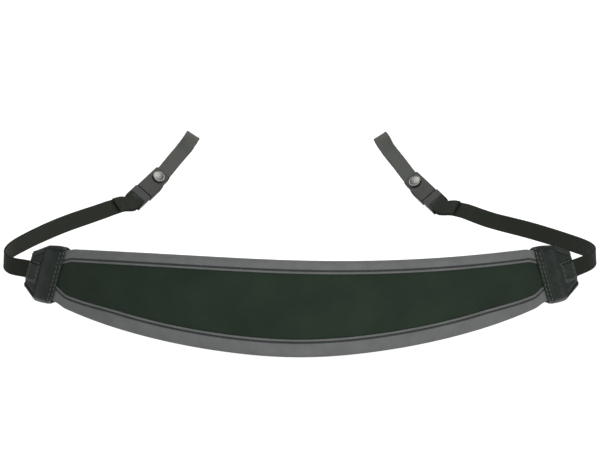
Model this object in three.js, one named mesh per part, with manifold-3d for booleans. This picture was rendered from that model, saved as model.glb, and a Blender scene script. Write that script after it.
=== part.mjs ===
// A camera neck strap: a curved padded panel with bound edges, a leather tab on each end, and on each
// side a narrow webbing strap, a slim two-part buckle with a round stud, and a loop for the camera's lug.
// Millimetres, +Z up. The strap stands on the pad's lower edge, with its loops held at a camera's lugs.
// The origin is midway between the two loops; the pad is in front of it, towards -Y.
import * as THREE from "three";
import { mergeVertices } from "three/addons/utils/BufferGeometryUtils.js";
import Module from "manifold-3d";

const wasm = await Module();
wasm.setup();

// Driving dimensions
const GAP = 0.3; // left between two pieces that touch on the real strap
const PAD = {
  halfLength: 147, // from the middle to where the pad's taper ends, inside a tab, along the curve
  tuckedLength: 7, // hidden inside each tab
  curveHalfLength: 143, // the strap runs on straight beyond this
  upperReach: { middle: 25.1, end: 15.8, power: 2.37, sway: 1.1 }, // from the middle line up to the rim
  lowerReach: { middle: 26.3, end: 14.2, power: 1.31, sway: 0 }, // and down to the other one
  swayTo: 140, // a rim with sway stands higher on the left half than on the right one, as far out as this
  midRounding: 0.15, // keeps the rims smooth across the middle, as a share of the half length
  tuckNarrowing: 0.9, // the rims draw in where they go into a tab
  planRadius: 192, // of the curve that the standing pad follows, seen from above
  lean: THREE.MathUtils.degToRad(15), // the top leans towards the inside of the loop
  crown: 3.3, // half thickness in the middle of the panel
  shoulder: 2.9, // half thickness a little way in from the hem
  hemLevel: 2.2, // half thickness of the panel beside the hem
  shoulderReach: 4,
  fullThicknessTo: 110, // beyond this distance from the middle the pad thins out towards its tabs
  endThinning: 0.7,
  midHeight: 24.7, // of the middle line, over the foot that the routes below are measured from
  footAhead: 6.6, // the middle line lies this far behind that foot
  stations: 25,
};
const BINDING = { wall: 0.9, rimRadius: 2.9, rollLevel: 2.75, grooveLevel: 2.05, hemLevel: 2.55 };
const BINDING_STEPS = { roll: 3.2, groove: 1.6 }; // distances from the hem to the roll and the stitch groove
// Width of each bound edge in the pad's middle and beside the tabs, and between where it changes
const BINDING_WIDTH = { upper: { middle: 7.1, end: 7.1 }, lower: { middle: 9.6, end: 7.8 } };
const BINDING_NARROWS = { from: 100, to: 138 };
const TAB = { cornerInset: 2.2, edgeHalf: 1.2, slant: 0.14 }; // slant: its ends lean outwards downwards
// One row for each section of a tab, from the pad outwards: distance from the pad's middle, how far it
// reaches up and down from the middle line, and half its thickness.
const TAB_SECTIONS = [
  { along: PAD.halfLength - 3.7, up: 17.2, down: 15.8, halfThickness: 3.8 },
  { along: PAD.halfLength, up: 16.9, down: 16.5, halfThickness: 3.7 },
  { along: PAD.halfLength + 6, up: 16.4, down: 16.7, halfThickness: 3.6 },
  { along: PAD.halfLength + 11.4, up: 15.4, down: 16.8, halfThickness: 2.9 },
  { along: PAD.halfLength + 17.3, up: 12.5, down: 13.9, halfThickness: 2.5 },
  { along: PAD.halfLength + 23.2, up: 9.6, down: 10.9, halfThickness: 2.2 },
];
const WEBBING = { width: 9.8, thickness: 1.4, acrossTab: -1.2, startInTab: 9, exitFromTab: 23.2 };
// The webbing's end, folded over the bar, and its angle at the buckle in degrees
const WEBBING_TAIL = { length: 18, blend: 8, approach: 5.5, bend: 22 };
const CAMERA_LOOP = { width: 9.3, thickness: 1.2, bightRadius: 2.8, bightBlend: 11 };
const BUCKLE = {
  plugHalfWidth: 6.05,
  bodyUpperHalf: 5.5, // the socket's body is flush with its neck on the upper side
  bodyLowerHalf: 6.6, // and stands out on the lower side
  neckHalf: 5.45,
  thickness: 5,
  edge: 0.6,
  plugLength: 11,
  bodyLength: 12,
  neckLength: 9,
  cornerRadius: 1.6,
  barRadius: 1.2,
  barInset: 1.5, // from the plug's end to the bar's middle
  tongueLength: 9.5,
  tongueWidth: 8.6,
  tongueThickness: 2.2,
  strapPocket: 9.3,
};
const STUD = {
  headRadius: 4,
  headHeight: 1.2,
  shankRadius: 1.5,
  backRadius: 2.6,
  backHeight: 0.6,
  fromNeckEnd: 5.8,
};
const BUCKLE_LENGTH = BUCKLE.plugLength + GAP + BUCKLE.bodyLength + BUCKLE.neckLength;
// The middle of the two loops, seen from the pad's foot
const LUGS = { sideways: -8.35, behind: 260, above: 48.9 };

// How each side lies: out from the pad's middle, back from its lower edge, up from its lowest point, and the
// roll of the strap's width away from upright, in degrees, top edge outwards. From the tab to the buckle:
const LEFT_WEBBING_ROUTE = [
  { out: 162.2, back: 86.4, up: 22.5, roll: -10 },
  { out: 166.6, back: 96.8, up: 22.8, roll: -4 },
  { out: 165, back: 109, up: 23.6, roll: 2 },
  { out: 157.7, back: 126, up: 24, roll: 8 },
  { out: 140.4, back: 162, up: 22.8, roll: 18 },
  { out: 119.4, back: 197, up: 21, roll: 34 },
  { out: 108.4, back: 211.5, up: 21.1, roll: 44 },
];
const RIGHT_WEBBING_ROUTE = [
  { out: 162.4, back: 86.8, up: 24.6, roll: -10 },
  { out: 166.4, back: 97, up: 24.7, roll: -4 },
  { out: 164.6, back: 109, up: 24.2, roll: 2 },
  { out: 155.9, back: 126, up: 23.1, roll: 8 },
  { out: 135.3, back: 155.2, up: 21.6, roll: 18 },
  { out: 113.6, back: 181.5, up: 20.1, roll: 30 },
  { out: 93.8, back: 203.6, up: 20.9, roll: 44 },
];
// The buckle's two ends, then the camera loop's way from the buckle to the lug:
const LEFT_BUCKLE = {
  from: { out: 102.8, back: 220.6, up: 19.4 },
  to: { out: 85.5, back: 245.3, up: 30.4 },
  roll: 50,
};
const RIGHT_BUCKLE = {
  from: { out: 86, back: 215.2, up: 18.4 },
  to: { out: 67.7, back: 242.6, up: 29.6 },
  roll: 50,
};
const LEFT_LOOP_ROUTE = [
  { out: 78.4, back: 251.8, up: 37.6, roll: 47 },
  { out: 70.5, back: 257.8, up: 46, roll: 44 },
  { out: 68.2, back: 260.3, up: 49.1, roll: 43 },
];
const RIGHT_LOOP_ROUTE = [
  { out: 61.3, back: 249.6, up: 36.9, roll: 47 },
  { out: 54.2, back: 256, up: 44.7, roll: 44 },
  { out: 51.5, back: 259.7, up: 48.7, roll: 43 },
];

// Colours and finishes
const PANEL_FABRIC = new THREE.MeshStandardMaterial({ color: 0x2b352d, roughness: 0.92, metalness: 0 });
const BINDING_FABRIC = new THREE.MeshStandardMaterial({ color: 0x72736f, roughness: 0.9, metalness: 0 });
const TAB_LEATHER = new THREE.MeshStandardMaterial({ color: 0x242a26, roughness: 0.6, metalness: 0 });
const STRAP_WEBBING = new THREE.MeshStandardMaterial({ color: 0x2a2f28, roughness: 0.85, metalness: 0 });
const BUCKLE_PLASTIC = new THREE.MeshStandardMaterial({ color: 0x272a27, roughness: 0.45, metalness: 0 });
const STUD_METAL = new THREE.MeshStandardMaterial({ color: 0xb4b5b0, roughness: 0.3, metalness: 1 });

// Solids
function toManifold(geometry) {
  const bare = geometry.clone();
  bare.deleteAttribute("normal");
  bare.deleteAttribute("uv");
  const merged = mergeVertices(bare, 1e-4);
  const vertProperties = merged.attributes.position.array;
  const triVerts = new Uint32Array(merged.index.array);
  return new wasm.Manifold(new wasm.Mesh({ numProp: 3, vertProperties, triVerts }));
}

function toGeometry(manifold) {
  const mesh = manifold.getMesh();
  const geometry = new THREE.BufferGeometry();
  geometry.setAttribute("position", new THREE.BufferAttribute(mesh.vertProperties, mesh.numProp));
  geometry.setIndex(new THREE.BufferAttribute(mesh.triVerts, 1));
  geometry.computeVertexNormals();
  return geometry;
}

// A closed solid through a row of sections. outlineAt gives a section's outline as 2D points, the same
// number at each station, and place puts one of them in space.
function loft(stations, outlineAt, place) {
  const outlines = stations.map(outlineAt).map(counterClockwise);
  const count = outlines[0].length;
  const points = outlines.flatMap((outline, i) => outline.map((p) => place(stations[i], p)));
  const faces = [];
  for (let i = 0; i + 1 < stations.length; i++) {
    for (let j = 0; j < count; j++) {
      const [a, b] = [i * count + j, i * count + ((j + 1) % count)];
      faces.push(a, b, b + count, a, b + count, a + count);
    }
  }
  const last = (stations.length - 1) * count;
  const capOf = (outline) => THREE.ShapeUtils.triangulateShape(outline, []);
  const [firstCap, lastCap] = [outlines[0], outlines.at(-1)].map(capOf);
  firstCap.forEach(([a, b, c]) => faces.push(c, b, a));
  lastCap.forEach(([a, b, c]) => faces.push(last + a, last + b, last + c));
  const geometry = new THREE.BufferGeometry().setFromPoints(points);
  geometry.setIndex(isInsideOut(points, faces) ? faces.reverse() : faces);
  geometry.computeVertexNormals();
  return geometry;
}

function counterClockwise(outline) {
  return THREE.ShapeUtils.isClockWise(outline) ? [...outline].reverse() : outline;
}

function isInsideOut(points, faces) {
  let sixVolumes = 0;
  for (let i = 0; i < faces.length; i += 3) {
    const [a, b, c] = [points[faces[i]], points[faces[i + 1]], points[faces[i + 2]]];
    sixVolumes += a.dot(new THREE.Vector3().crossVectors(b, c));
  }
  return sixVolumes < 0;
}

function evenSteps(from, to, count) {
  return Array.from({ length: count }, (_, i) => from + ((to - from) * i) / (count - 1));
}

function box(x0, x1, y0, y1, z0, z1) {
  const geometry = new THREE.BoxGeometry(x1 - x0, y1 - y0, z1 - z0);
  return geometry.translate((x0 + x1) / 2, (y0 + y1) / 2, (z0 + z1) / 2);
}

// The standing pad's surface: a piece of a cone that leans inwards, which runs on straight under the tabs.
// along runs along the strap from the pad's middle, across up its width and off out of its front face.
function padPoint(along, across, off) {
  const { planRadius, lean, curveHalfLength, midHeight, footAhead } = PAD;
  const onCurve = THREE.MathUtils.clamp(along, -curveHalfLength, curveHalfLength);
  const angle = onCurve / planRadius;
  const radius = planRadius - across * Math.sin(lean) + off * Math.cos(lean);
  const axisBehind = planRadius + footAhead;
  const beyond = along - onCurve;
  return new THREE.Vector3(
    radius * Math.sin(angle) + beyond * Math.cos(angle),
    axisBehind - radius * Math.cos(angle) + Math.abs(beyond) * Math.abs(Math.sin(angle)),
    midHeight + across * Math.cos(lean) + off * Math.sin(lean),
  );
}

const onPad = (along, { x: across, y: off }) => padPoint(along, across, off);

function rimReach(along, { middle, end, power, sway }) {
  const share = Math.abs(along) / PAD.halfLength;
  const tucked = THREE.MathUtils.smoothstep(share, 0.93, 0.98) * PAD.tuckNarrowing;
  const taper = Math.hypot(share, PAD.midRounding) ** power - PAD.midRounding ** power;
  const swayed = sway * Math.sin(Math.PI * THREE.MathUtils.clamp(along / PAD.swayTo, -1, 1));
  return middle - (middle - end) * taper - tucked - swayed;
}

function padThinning(along) {
  const share = THREE.MathUtils.smoothstep(Math.abs(along), PAD.fullThicknessTo, PAD.halfLength);
  return 1 - (1 - PAD.endThinning) * share;
}

const PAD_END = PAD.halfLength + PAD.tuckedLength;
const PAD_STATIONS = evenSteps(-PAD_END, PAD_END, PAD.stations);

function bindingWidthAt(along, { middle, end }) {
  const { from, to } = BINDING_NARROWS;
  return THREE.MathUtils.lerp(middle, end, THREE.MathUtils.smoothstep(Math.abs(along), from, to));
}

// Front half of an edge, from the hem out to the rim: how far in from the pad's rim, and how far off its
// middle, both shrunk by inset from the binding's own outer face.
function edgeProfile(along, bindingWidth, inset) {
  const thinning = padThinning(along);
  const { rimRadius, rollLevel, grooveLevel, hemLevel } = BINDING;
  const flat = [
    { inFromRim: bindingWidth, level: hemLevel },
    { inFromRim: bindingWidth - BINDING_STEPS.groove, level: grooveLevel },
    { inFromRim: bindingWidth - BINDING_STEPS.roll, level: rollLevel },
  ].map(({ inFromRim, level }) => ({ inFromRim, off: level * thinning - inset }));
  const rim = [90, 45, 0].map((degrees) => {
    const angle = THREE.MathUtils.degToRad(degrees);
    return {
      inFromRim: inset + (rimRadius - inset) * (1 - Math.cos(angle)),
      off: (rimRadius * thinning - inset) * Math.sin(angle),
    };
  });
  return [...flat, ...rim];
}

// Front face, round the rim and back along the rear face.
function mirrored(profile) {
  const rear = profile.slice(0, -1).map(({ inFromRim, off }) => ({ inFromRim, off: -off }));
  return [...profile, ...rear.reverse()];
}

function bindingOutline(along, width, reach, upDown) {
  const bindingWidth = bindingWidthAt(along, width);
  const outside = mirrored(edgeProfile(along, bindingWidth, 0));
  const inside = mirrored(edgeProfile(along, bindingWidth, BINDING.wall)).reverse();
  return [...outside, ...inside].map(
    ({ inFromRim, off }) => new THREE.Vector2(upDown * (rimReach(along, reach) - inFromRim), off),
  );
}

function padOutline(along) {
  const [up, down] = [PAD.upperReach, PAD.lowerReach].map((reach) => rimReach(along, reach));
  const thinning = padThinning(along);
  const under = BINDING.wall + GAP;
  const edge = (width) => {
    const bindingWidth = bindingWidthAt(along, width);
    return [
      { inFromRim: bindingWidth + PAD.shoulderReach, off: PAD.shoulder * thinning },
      { inFromRim: bindingWidth + GAP, off: PAD.hemLevel * thinning },
      ...edgeProfile(along, bindingWidth + GAP, under),
    ];
  };
  const [upperEdge, lowerEdge] = [edge(BINDING_WIDTH.upper), edge(BINDING_WIDTH.lower)].map(mirrored);
  const top = upperEdge.map(({ inFromRim, off }) => new THREE.Vector2(up - inFromRim, off));
  const bottom = lowerEdge.map(({ inFromRim, off }) => new THREE.Vector2(inFromRim - down, off));
  const crown = PAD.crown * thinning;
  return [new THREE.Vector2(0, crown), ...top, new THREE.Vector2(0, -crown), ...bottom.reverse()];
}

// A flattened bar's outline, thinner along its two edges.
function flatOutline(up, down, halfThickness, edgeHalf, inset) {
  const front = [
    [up, edgeHalf],
    [up - inset, halfThickness],
    [inset - down, halfThickness],
    [-down, edgeHalf],
  ];
  const rear = front.map(([across, off]) => [across, -off]).reverse();
  return [...front, ...rear].map(([across, off]) => new THREE.Vector2(across, off));
}

// The leather tab: a sewn sleeve with a pocket for the pad's end and a slot for the webbing. Right side.
function tabGeometry() {
  const sections = new Map(TAB_SECTIONS.map((section) => [section.along, section]));
  const outside = loft(
    [...sections.keys()],
    (along) => {
      const { up, down, halfThickness } = sections.get(along);
      return flatOutline(up, down, halfThickness, TAB.edgeHalf, TAB.cornerInset);
    },
    (along, { x: across, y: off }) => padPoint(along - TAB.slant * across, across, off),
  );
  const pocket = loft(
    [PAD.curveHalfLength - 4, PAD.curveHalfLength, PAD_END + GAP],
    (along) => {
      const thickness = PAD.crown * padThinning(along) + GAP;
      const [up, down] = [PAD.upperReach, PAD.lowerReach].map((reach) => rimReach(along, reach) + GAP);
      return flatOutline(up, down, thickness, thickness - BINDING.wall, BINDING.wall);
    },
    onPad,
  );
  const slotHalf = { width: WEBBING.width / 2 + GAP, thickness: WEBBING.thickness / 2 + GAP };
  const slot = loft(
    [PAD_END - 1, PAD.halfLength + WEBBING.exitFromTab + 4],
    () => {
      const [up, down] = [slotHalf.width + WEBBING.acrossTab, slotHalf.width - WEBBING.acrossTab];
      return flatOutline(up, down, slotHalf.thickness, slotHalf.thickness / 2, slotHalf.thickness / 2);
    },
    onPad,
  );
  return toGeometry(toManifold(outside).subtract(toManifold(pocket)).subtract(toManifold(slot)));
}

// Straps
const toVector = ({ out, back, up }) => new THREE.Vector3(out, back, up);

// A smooth strap line through rows of points, with its length, and the strap's frame at any distance along
// it: the way it runs, its width, and its face, which looks out of the loop's far side towards the viewer.
class StrapLine {
  constructor(rows, endWidth = null) {
    this.endWidth = endWidth;
    this.curve = new THREE.CatmullRomCurve3(rows.map(({ point }) => point), false, "centripetal");
    this.curve.arcLengthDivisions = 600;
    this.length = this.curve.getLength();
    const lengths = this.curve.getLengths();
    const perRow = (lengths.length - 1) / (rows.length - 1);
    this.rolls = rows.map(({ roll }, i) => ({ at: lengths[Math.round(i * perRow)], roll }));
  }

  rollAt(distance) {
    const next = this.rolls.findIndex(({ at }) => at >= distance);
    if (next <= 0) return this.rolls.at(next).roll;
    const [a, b] = [this.rolls[next - 1], this.rolls[next]];
    return THREE.MathUtils.lerp(a.roll, b.roll, THREE.MathUtils.smoothstep(distance, a.at, b.at));
  }

  frameAt(distance) {
    const share = THREE.MathUtils.clamp(distance / this.length, 0, 1);
    const ahead = this.curve.getTangentAt(share);
    const point = this.curve.getPointAt(share);
    const { width } = strapAxes(ahead, this.rollAt(distance));
    if (this.endWidth) {
      const { across, over } = this.endWidth;
      width.lerp(across, THREE.MathUtils.smoothstep(distance, this.length - 2 * over, this.length - over));
      width.projectOnPlane(ahead).normalize();
    }
    return { point, ahead, width, face: new THREE.Vector3().crossVectors(width, ahead) };
  }
}

function strapAxes(ahead, rollDegrees) {
  const upright = new THREE.Vector3(0, 0, 1).projectOnPlane(ahead).normalize();
  const sideways = new THREE.Vector3().crossVectors(ahead, upright);
  const roll = THREE.MathUtils.degToRad(rollDegrees);
  const width = upright.multiplyScalar(Math.cos(roll)).addScaledVector(sideways, Math.sin(roll));
  return { ahead, width, face: new THREE.Vector3().crossVectors(width, ahead) };
}

// A flat strap along a row of places, each a point and the direction of the strap's width there.
function ribbonGeometry(places, width, thickness) {
  const frames = places.map(({ point, width: across }, i) => {
    const before = places[Math.max(i - 1, 0)].point;
    const after = places[Math.min(i + 1, places.length - 1)].point;
    const ahead = after.clone().sub(before).normalize();
    const face = new THREE.Vector3().crossVectors(across, ahead).normalize();
    return { point, face, across: new THREE.Vector3().crossVectors(ahead, face) };
  });
  const [side, deep] = [width / 2, thickness / 2];
  const outline = cornersOf([[side, deep], [-side, deep], [-side, -deep], [side, -deep]]);
  return loft(
    frames.map((_, i) => i),
    () => outline,
    (i, { x, y }) => {
      const { point, across, face } = frames[i];
      return point.clone().addScaledVector(across, x).addScaledVector(face, y);
    },
  );
}

// Points of a strap that runs along a line to a fold at its end and back: offset behind the line, round the
// fold, and in front of it. spread gives half the distance between the two layers along the line.
function foldedPlaces(line, outward, homeward, spread, foldReach) {
  const at = (distance, side) => {
    const { point, width, face } = line.frameAt(distance);
    return { point: point.clone().addScaledVector(face, side * spread(distance, side)), width };
  };
  const foldSteps = [-60, -30, 0, 30, 60];
  const end = line.frameAt(line.length);
  const fold = foldSteps.map((degrees) => {
    const angle = THREE.MathUtils.degToRad(degrees);
    const point = end.point.clone().addScaledVector(end.ahead, foldReach * Math.cos(angle));
    point.addScaledVector(end.face, spread(line.length, 1) * Math.sin(angle));
    return { point, width: end.width };
  });
  return [...outward.map((d) => at(d, -1)), ...fold, ...homeward.map((d) => at(d, 1))];
}

// Buckle, in its own frame: +X along the strap from the bar's end, +Y across it, +Z out of its face.
function plate(outline, thickness) {
  const shape = new THREE.Shape(outline);
  const { edge } = BUCKLE;
  const bevel = { bevelSize: edge, bevelThickness: edge, bevelOffset: -edge, bevelSegments: 2 };
  const geometry = new THREE.ExtrudeGeometry(shape, { depth: thickness - 2 * edge, ...bevel });
  return geometry.translate(0, 0, edge - thickness / 2);
}

function roundedPath(corners, radius) {
  const path = new THREE.Path();
  corners.forEach((corner, i) => {
    const before = corners[(i + corners.length - 1) % corners.length];
    const after = corners[(i + 1) % corners.length];
    const [toBefore, toAfter] = [before.clone().sub(corner), after.clone().sub(corner)];
    const [start, end] = [toBefore, toAfter].map((leg) => {
      const reach = Math.min(radius, leg.length() * 0.4);
      return corner.clone().add(leg.setLength(reach));
    });
    i === 0 ? path.moveTo(start.x, start.y) : path.lineTo(start.x, start.y);
    path.quadraticCurveTo(corner.x, corner.y, end.x, end.y);
  });
  path.closePath();
  return path.getPoints(4);
}

const cornersOf = (rows) => rows.map(([x, y]) => new THREE.Vector2(x, y));

function plugGeometry() {
  const { plugHalfWidth: half, thickness, plugLength, barRadius, barInset, cornerRadius } = BUCKLE;
  const slotHalf = WEBBING.width / 2 + GAP;
  const slotTo = barInset + barRadius + WEBBING.thickness + 3 * GAP;
  const corners = cornersOf([[0, -half], [plugLength, -half], [plugLength, half], [0, half]]);
  const outline = roundedPath(corners, cornerRadius);
  const slot = box(-1, slotTo, -slotHalf, slotHalf, -thickness, thickness);
  const bar = new THREE.CylinderGeometry(barRadius, barRadius, 2 * slotHalf + 1, 16);
  bar.translate(barInset, 0, 0);
  const { tongueLength, tongueWidth, tongueThickness } = BUCKLE;
  const [side, deep] = [tongueWidth / 2, tongueThickness / 2];
  const tongue = box(plugLength - 1, plugLength + tongueLength, -side, side, -deep, deep);
  const frame = toManifold(plate(outline, thickness)).subtract(toManifold(slot));
  return toGeometry(frame.add(toManifold(bar)).add(toManifold(tongue)));
}

function studHole() {
  const radius = STUD.shankRadius + GAP;
  const hole = new THREE.CylinderGeometry(radius, radius, 4 * BUCKLE.thickness, 16);
  return hole.rotateX(Math.PI / 2).translate(BUCKLE_LENGTH - STUD.fromNeckEnd, 0, 0);
}

function socketGeometry() {
  const { thickness, plugLength, bodyLength, tongueLength, cornerRadius } = BUCKLE;
  const { neckHalf, bodyUpperHalf, bodyLowerHalf } = BUCKLE;
  const [from, step, to] = [plugLength + GAP, plugLength + GAP + bodyLength, BUCKLE_LENGTH];
  const outline = roundedPath(
    cornersOf([
      [from, -bodyUpperHalf],
      [step, -bodyUpperHalf],
      [to, -neckHalf],
      [to, neckHalf],
      [step + cornerRadius, neckHalf],
      [step, bodyLowerHalf],
      [from, bodyLowerHalf],
    ]),
    cornerRadius * 0.6,
  );
  const side = BUCKLE.tongueWidth / 2 + GAP;
  const deep = BUCKLE.tongueThickness / 2 + GAP;
  const tonguePocket = box(from - 1, plugLength + tongueLength + GAP, -side, side, -deep, deep);
  const strapSide = CAMERA_LOOP.width / 2 + GAP;
  const strapDeep = CAMERA_LOOP.thickness + 1.5 * GAP;
  const pocketFrom = to - BUCKLE.strapPocket - GAP;
  const strapPocket = box(pocketFrom, to + 1, -strapSide, strapSide, -strapDeep, strapDeep);
  const cuts = [tonguePocket, strapPocket, studHole()].map(toManifold);
  return toGeometry(cuts.reduce((left, cut) => left.subtract(cut), toManifold(plate(outline, thickness))));
}

function studGeometry() {
  const { headRadius, headHeight, shankRadius, backRadius, backHeight, fromNeckEnd } = STUD;
  const seat = BUCKLE.thickness / 2 + GAP;
  const profile = [
    [0, -seat - backHeight],
    [backRadius, -seat - backHeight],
    [backRadius, -seat],
    [shankRadius, -seat],
    [shankRadius, seat],
    [headRadius, seat],
    [headRadius, seat + headHeight * 0.3],
    [headRadius * 0.85, seat + headHeight * 0.72],
    [headRadius * 0.5, seat + headHeight * 0.94],
    [0, seat + headHeight],
  ];
  const stud = new THREE.LatheGeometry(cornersOf(profile), 20);
  return stud.rotateX(Math.PI / 2).translate(BUCKLE_LENGTH - fromNeckEnd, 0, 0);
}

function buckleFrame({ from, to, roll }) {
  const start = toVector(from);
  const ahead = toVector(to).sub(start).normalize();
  const { width, face } = strapAxes(ahead, roll);
  return { start, ahead, width, face };
}

// Webbing from the tab, round its turn, and folded over the buckle's bar.
function webbingGeometry(route, buckle, roll) {
  const leanDegrees = -THREE.MathUtils.radToDeg(PAD.lean);
  const { startInTab, exitFromTab, acrossTab, thickness } = WEBBING;
  const inTab = [startInTab, (startInTab + exitFromTab) / 2, exitFromTab + 1].map((along) => ({
    point: padPoint(PAD.halfLength + along, acrossTab, 0),
    roll: leanDegrees,
  }));
  const bar = buckle.start.clone().addScaledVector(buckle.ahead, BUCKLE.barInset);
  const bend = THREE.MathUtils.degToRad(WEBBING_TAIL.bend);
  const pull = buckle.ahead.clone().multiplyScalar(Math.cos(bend));
  pull.addScaledVector(buckle.face, -Math.sin(bend));
  const approach = bar.clone().addScaledVector(pull, -WEBBING_TAIL.approach);
  const line = new StrapLine([
    ...inTab,
    ...route.map((row) => ({ point: toVector(row), roll: row.roll })),
    { point: approach, roll },
    { point: bar, roll },
  ], { across: buckle.width, over: WEBBING_TAIL.blend / 2 });
  const apart = (thickness + GAP) / 2;
  const aroundBar = BUCKLE.barRadius + GAP + thickness / 2;
  const tailStart = line.length - WEBBING_TAIL.length;
  const spread = (distance, side) => {
    const opened = THREE.MathUtils.smoothstep(distance, line.length - WEBBING_TAIL.blend, line.length);
    const doubling = THREE.MathUtils.smoothstep(distance, tailStart - WEBBING_TAIL.blend, tailStart);
    return THREE.MathUtils.lerp(side > 0 ? apart : apart * doubling, aroundBar, opened);
  };
  const single = evenSteps(0, tailStart - WEBBING_TAIL.blend, 44);
  const outward = [...single, ...evenSteps(tailStart - 6, line.length, 10)];
  const homeward = evenSteps(line.length, tailStart, 8);
  return ribbonGeometry(foldedPlaces(line, outward, homeward, spread, aroundBar), WEBBING.width, thickness);
}

// Camera loop: out of the socket's neck to the lug and back, with a bight left open for the lug.
function loopGeometry(route, buckle, roll) {
  const pocketFrom = BUCKLE_LENGTH - BUCKLE.strapPocket;
  const inNeck = [pocketFrom, BUCKLE_LENGTH].map((along) => ({
    point: buckle.start.clone().addScaledVector(buckle.ahead, along),
    roll,
  }));
  const toLug = route.map((row) => ({ point: toVector(row), roll: row.roll }));
  const line = new StrapLine([...inNeck, ...toLug]);
  const { thickness, width, bightRadius, bightBlend } = CAMERA_LOOP;
  const apart = (thickness + GAP) / 2;
  const spread = (distance) => {
    const opened = THREE.MathUtils.smoothstep(distance, line.length - bightBlend, line.length);
    return THREE.MathUtils.lerp(apart, bightRadius, opened);
  };
  const toBight = evenSteps(0, line.length - bightBlend, 14);
  const outward = [...toBight, ...evenSteps(line.length - 8, line.length, 5)];
  const places = foldedPlaces(line, outward, [...outward].reverse(), spread, bightRadius);
  const ribbon = toManifold(ribbonGeometry(places, width, thickness));
  const hole = studHole().applyMatrix4(buckleMatrix(buckle));
  return toGeometry(ribbon.subtract(toManifold(hole)));
}

function buckleMatrix({ start, ahead, width, face }) {
  return new THREE.Matrix4().makeBasis(ahead, width.clone().negate(), face).setPosition(start);
}

// One side of the strap as it hangs on the right; the left one is put in a mirrored group.
function sideGroup(name, route, buckleEnds, loopRoute) {
  const buckle = buckleFrame(buckleEnds);
  const side = new THREE.Group();
  const inPlace = (piece, geometry, material) => {
    const mesh = new THREE.Mesh(geometry, material);
    mesh.name = `${name}_${piece}`;
    return mesh;
  };
  const hardware = new THREE.Group();
  hardware.applyMatrix4(buckleMatrix(buckle));
  hardware.add(
    inPlace("buckle_plug", plugGeometry(), BUCKLE_PLASTIC),
    inPlace("buckle_socket", socketGeometry(), BUCKLE_PLASTIC),
    inPlace("stud", studGeometry(), STUD_METAL),
  );
  side.add(
    inPlace("end_tab", tabGeometry(), TAB_LEATHER),
    inPlace("webbing", webbingGeometry(route, buckle, buckleEnds.roll), STRAP_WEBBING),
    hardware,
    inPlace("camera_loop", loopGeometry(loopRoute, buckle, buckleEnds.roll), STRAP_WEBBING),
  );
  return side;
}

function padMesh(name, outlineAt, material) {
  const mesh = new THREE.Mesh(loft(PAD_STATIONS, outlineAt, onPad), material);
  mesh.name = name;
  return mesh;
}

const upperOutline = (along) => bindingOutline(along, BINDING_WIDTH.upper, PAD.upperReach, 1);
const lowerOutline = (along) => bindingOutline(along, BINDING_WIDTH.lower, PAD.lowerReach, -1);
const right = sideGroup("right", RIGHT_WEBBING_ROUTE, RIGHT_BUCKLE, RIGHT_LOOP_ROUTE);
const left = sideGroup("left", LEFT_WEBBING_ROUTE, LEFT_BUCKLE, LEFT_LOOP_ROUTE);
left.scale.x = -1;

const strap = new THREE.Group();
strap.position.set(-LUGS.sideways, -LUGS.behind, -LUGS.above);
strap.add(
  padMesh("neck_pad", padOutline, PANEL_FABRIC),
  padMesh("upper_binding", upperOutline, BINDING_FABRIC),
  padMesh("lower_binding", lowerOutline, BINDING_FABRIC),
  right,
  left,
);

const part = new THREE.Group();
part.add(strap);
export default part;
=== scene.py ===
"""Looks of a camera neck strap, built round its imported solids.

The pieces are worked out in millimetres in the pad's own frame (x sideways from the pad's middle, y back
from its lower edge, z up from its lowest point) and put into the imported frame, in metres, as they are made.
"""
import math

import bpy
import numpy as np
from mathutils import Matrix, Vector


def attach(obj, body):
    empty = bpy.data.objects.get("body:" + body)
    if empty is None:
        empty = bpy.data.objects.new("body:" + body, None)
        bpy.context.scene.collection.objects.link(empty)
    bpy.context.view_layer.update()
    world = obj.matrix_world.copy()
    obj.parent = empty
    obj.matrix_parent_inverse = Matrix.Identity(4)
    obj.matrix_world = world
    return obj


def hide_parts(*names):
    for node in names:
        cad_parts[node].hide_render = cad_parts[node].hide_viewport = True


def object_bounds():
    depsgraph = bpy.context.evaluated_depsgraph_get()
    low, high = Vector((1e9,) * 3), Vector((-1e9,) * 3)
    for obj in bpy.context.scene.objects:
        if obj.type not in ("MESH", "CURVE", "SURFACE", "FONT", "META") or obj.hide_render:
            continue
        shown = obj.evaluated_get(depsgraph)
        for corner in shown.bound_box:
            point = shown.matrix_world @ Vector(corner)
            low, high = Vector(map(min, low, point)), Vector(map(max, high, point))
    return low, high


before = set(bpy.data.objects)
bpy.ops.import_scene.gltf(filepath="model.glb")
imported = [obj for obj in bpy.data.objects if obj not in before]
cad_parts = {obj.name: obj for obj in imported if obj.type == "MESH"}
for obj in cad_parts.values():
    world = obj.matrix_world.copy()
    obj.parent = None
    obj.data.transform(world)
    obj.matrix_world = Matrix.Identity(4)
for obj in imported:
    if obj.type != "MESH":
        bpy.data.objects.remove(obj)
CAD_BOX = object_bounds()

MM = 0.001
GAP = 0.3  # left between two pieces that touch on the real strap
LUGS = np.array([-8.35, 260.0, 48.9])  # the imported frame's origin, seen from the pad's foot

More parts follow.
